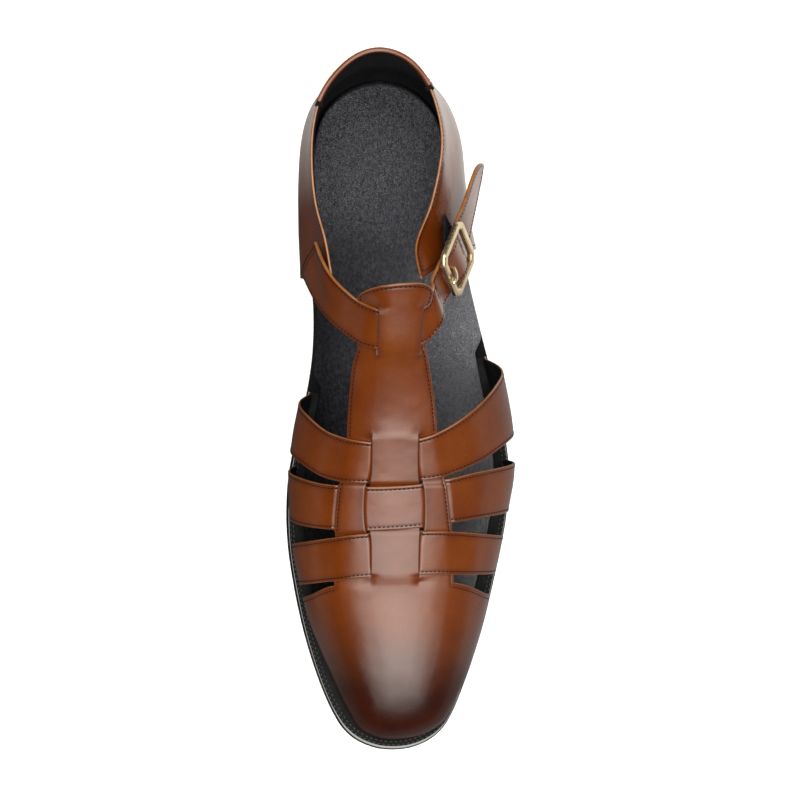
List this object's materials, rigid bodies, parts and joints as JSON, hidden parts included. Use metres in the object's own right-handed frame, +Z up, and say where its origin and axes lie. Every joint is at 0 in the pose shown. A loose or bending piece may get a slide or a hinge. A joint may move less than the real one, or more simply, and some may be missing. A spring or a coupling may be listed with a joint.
{
  "type": "roman sandal",
  "caption": "Closed-toe leather roman sandal for the left foot, with woven cross straps, a T-bar, a buckled ankle strap, a closed heel and a low-heeled welted sole.",
  "frame": {"origin": "middle of the shoe's outer box at the floor the sole stands on", "axes": "+Z up from the floor, -Y towards the toe, +Y towards the heel, +X towards the outer side of the left foot"},
  "size_m": [0.1016, 0.3016, 0.1017],
  "materials": {
    "outsole": "black, smooth edge",
    "heel": "black, satin",
    "welt": "black, satin",
    "insole": "black tumbled grain",
    "upper": "polished tan, burnished dark at the toe",
    "heel_quarter": "polished tan",
    "buckle_frame": "satin",
    "buckle_prong": "satin",
    "buckle_tab": "black elastic"
  },
  "bodies": {
    "root": {"outsole": "outsole", "heel": "heel", "welt": "welt", "insole": "insole", "upper": "upper", "heel_quarter": "heel_quarter", "buckle_frame": "buckle_frame", "buckle_prong": "buckle_prong", "buckle_tab": "buckle_tab"}
  },
  "joints": []
}
